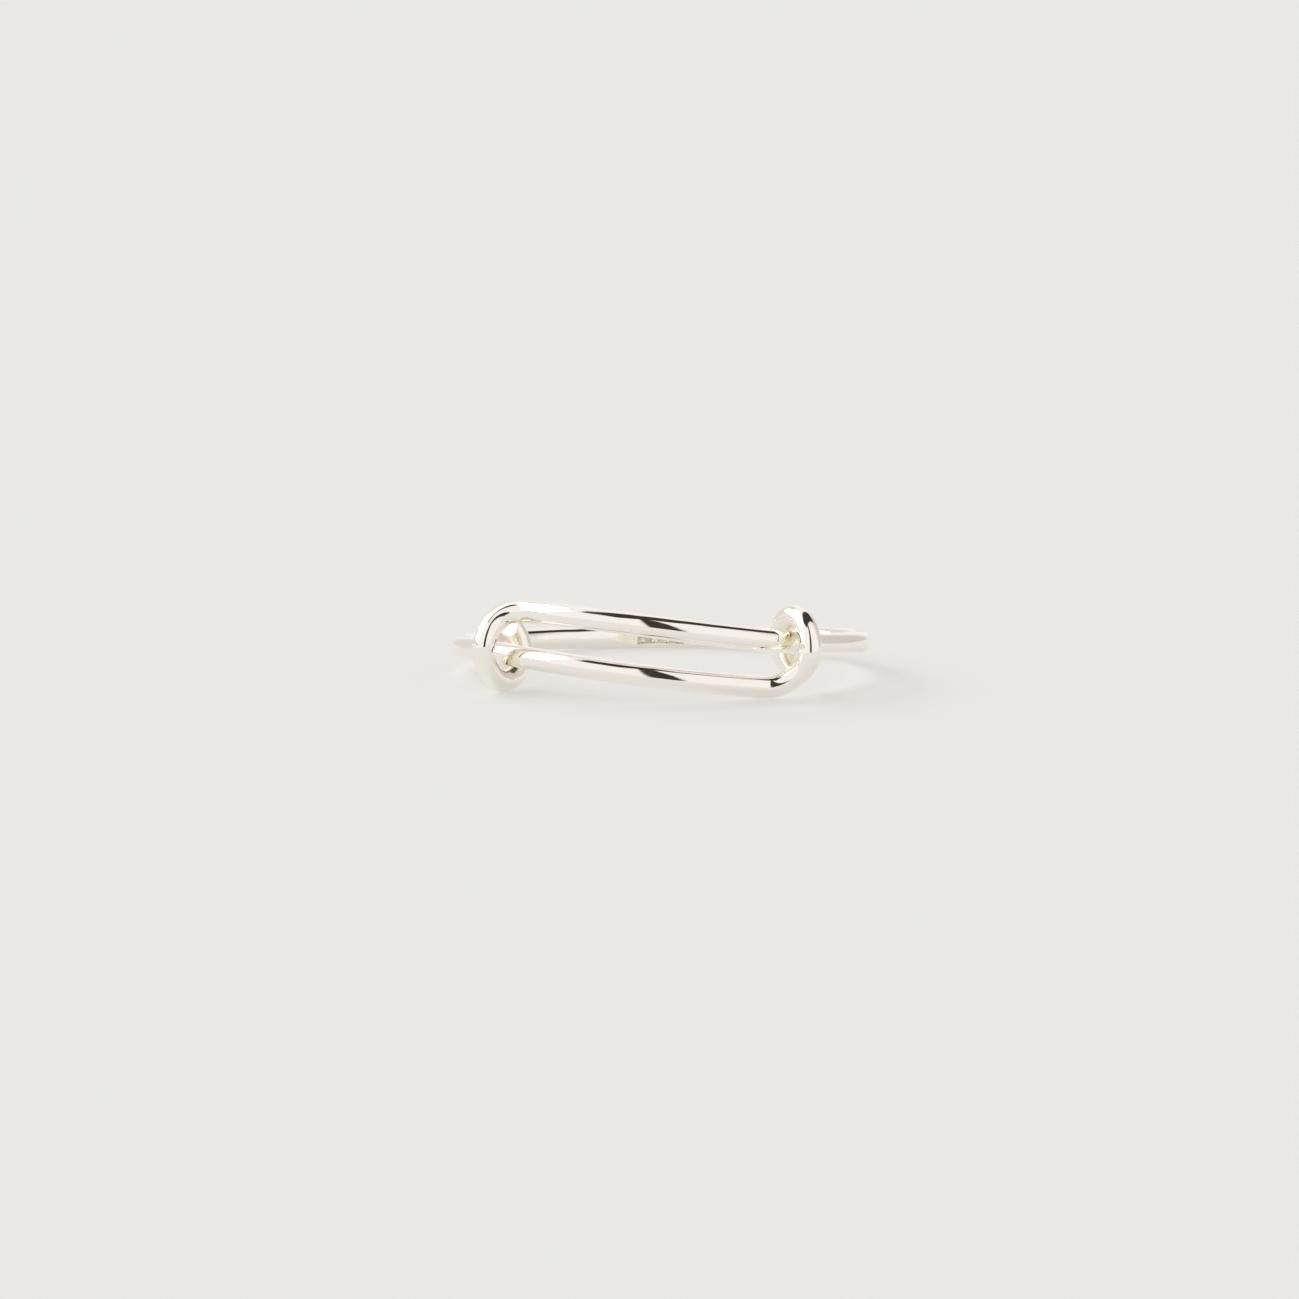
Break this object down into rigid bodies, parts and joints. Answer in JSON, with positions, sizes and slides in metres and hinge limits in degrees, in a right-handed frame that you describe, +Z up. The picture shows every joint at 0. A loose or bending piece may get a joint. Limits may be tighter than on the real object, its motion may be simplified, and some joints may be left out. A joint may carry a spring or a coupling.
{
  "type": "adjustable finger ring",
  "caption": "Adjustable finger ring of one round silver wire, with two overlapping front rails that each end in a coil sliding on the other.",
  "frame": {"origin": "on the surface the ring lies on, under the middle of its bounding box", "axes": "+Z up from the surface, -Y to the front where the two rails overlap, +X to the right seen from the front"},
  "size_m": [0.0192, 0.0192, 0.0042],
  "materials": {
    "silver_wire": "polished silver"
  },
  "bodies": {
    "back_band": {"back_band": "silver_wire"},
    "right_shank_rear": {"right_shank_rear": "silver_wire"},
    "right_shank_front": {"right_shank_front": "silver_wire"},
    "right_wire": {"right_shoulder": "silver_wire", "upper_rail": "silver_wire", "left_bend": "silver_wire", "left_coil": "silver_wire", "left_coil_tip": "silver_wire"},
    "left_shank_rear": {"left_shank_rear": "silver_wire"},
    "left_shank_front": {"left_shank_front": "silver_wire"},
    "left_wire": {"left_shoulder": "silver_wire", "lower_rail": "silver_wire", "right_bend": "silver_wire", "right_coil": "silver_wire", "right_coil_tip": "silver_wire"}
  },
  "joints": [
    {"name": "right_rear_flex", "type": "hinge", "parent": "back_band", "child": "right_shank_rear", "pos_m": [0.00763, 0.005, 0.00106], "axis": [0.2144, 0.1637, 0.9629], "range_deg": [-1.6, 3.2]},
    {"name": "right_middle_flex", "type": "hinge", "parent": "right_shank_rear", "child": "right_shank_front", "pos_m": [0.0091, 0.00015, 0.0016], "axis": [0.2144, 0.1637, 0.9629], "range_deg": [-4.8, 9.6]},
    {"name": "right_front_flex", "type": "hinge", "parent": "right_shank_front", "child": "right_wire", "pos_m": [0.00772, -0.00472, 0.00211], "axis": [0.2144, 0.1637, 0.9629], "range_deg": [-1.6, 3.2]},
    {"name": "left_rear_flex", "type": "hinge", "parent": "back_band", "child": "left_shank_rear", "pos_m": [-0.00763, 0.00497, 0.00078], "axis": [-0.2144, -0.028, -0.9764], "range_deg": [-1.6, 3.2]},
    {"name": "left_middle_flex", "type": "hinge", "parent": "left_shank_rear", "child": "left_shank_front", "pos_m": [-0.0091, 0.00011, 0.0012], "axis": [-0.2144, -0.028, -0.9764], "range_deg": [-4.8, 9.6]},
    {"name": "left_front_flex", "type": "hinge", "parent": "left_shank_front", "child": "left_wire", "pos_m": [-0.00772, -0.00477, 0.00165], "axis": [-0.2144, -0.028, -0.9764], "range_deg": [-1.6, 3.2]}
  ],
  "couplings": [
    {"joint": "right_rear_flex", "follows": "right_middle_flex", "ratio": 0.33333},
    {"joint": "right_front_flex", "follows": "right_middle_flex", "ratio": 0.33333},
    {"joint": "left_rear_flex", "follows": "right_middle_flex", "ratio": 0.33333},
    {"joint": "left_middle_flex", "follows": "right_middle_flex", "ratio": 1},
    {"joint": "left_front_flex", "follows": "right_middle_flex", "ratio": 0.33333}
  ]
}
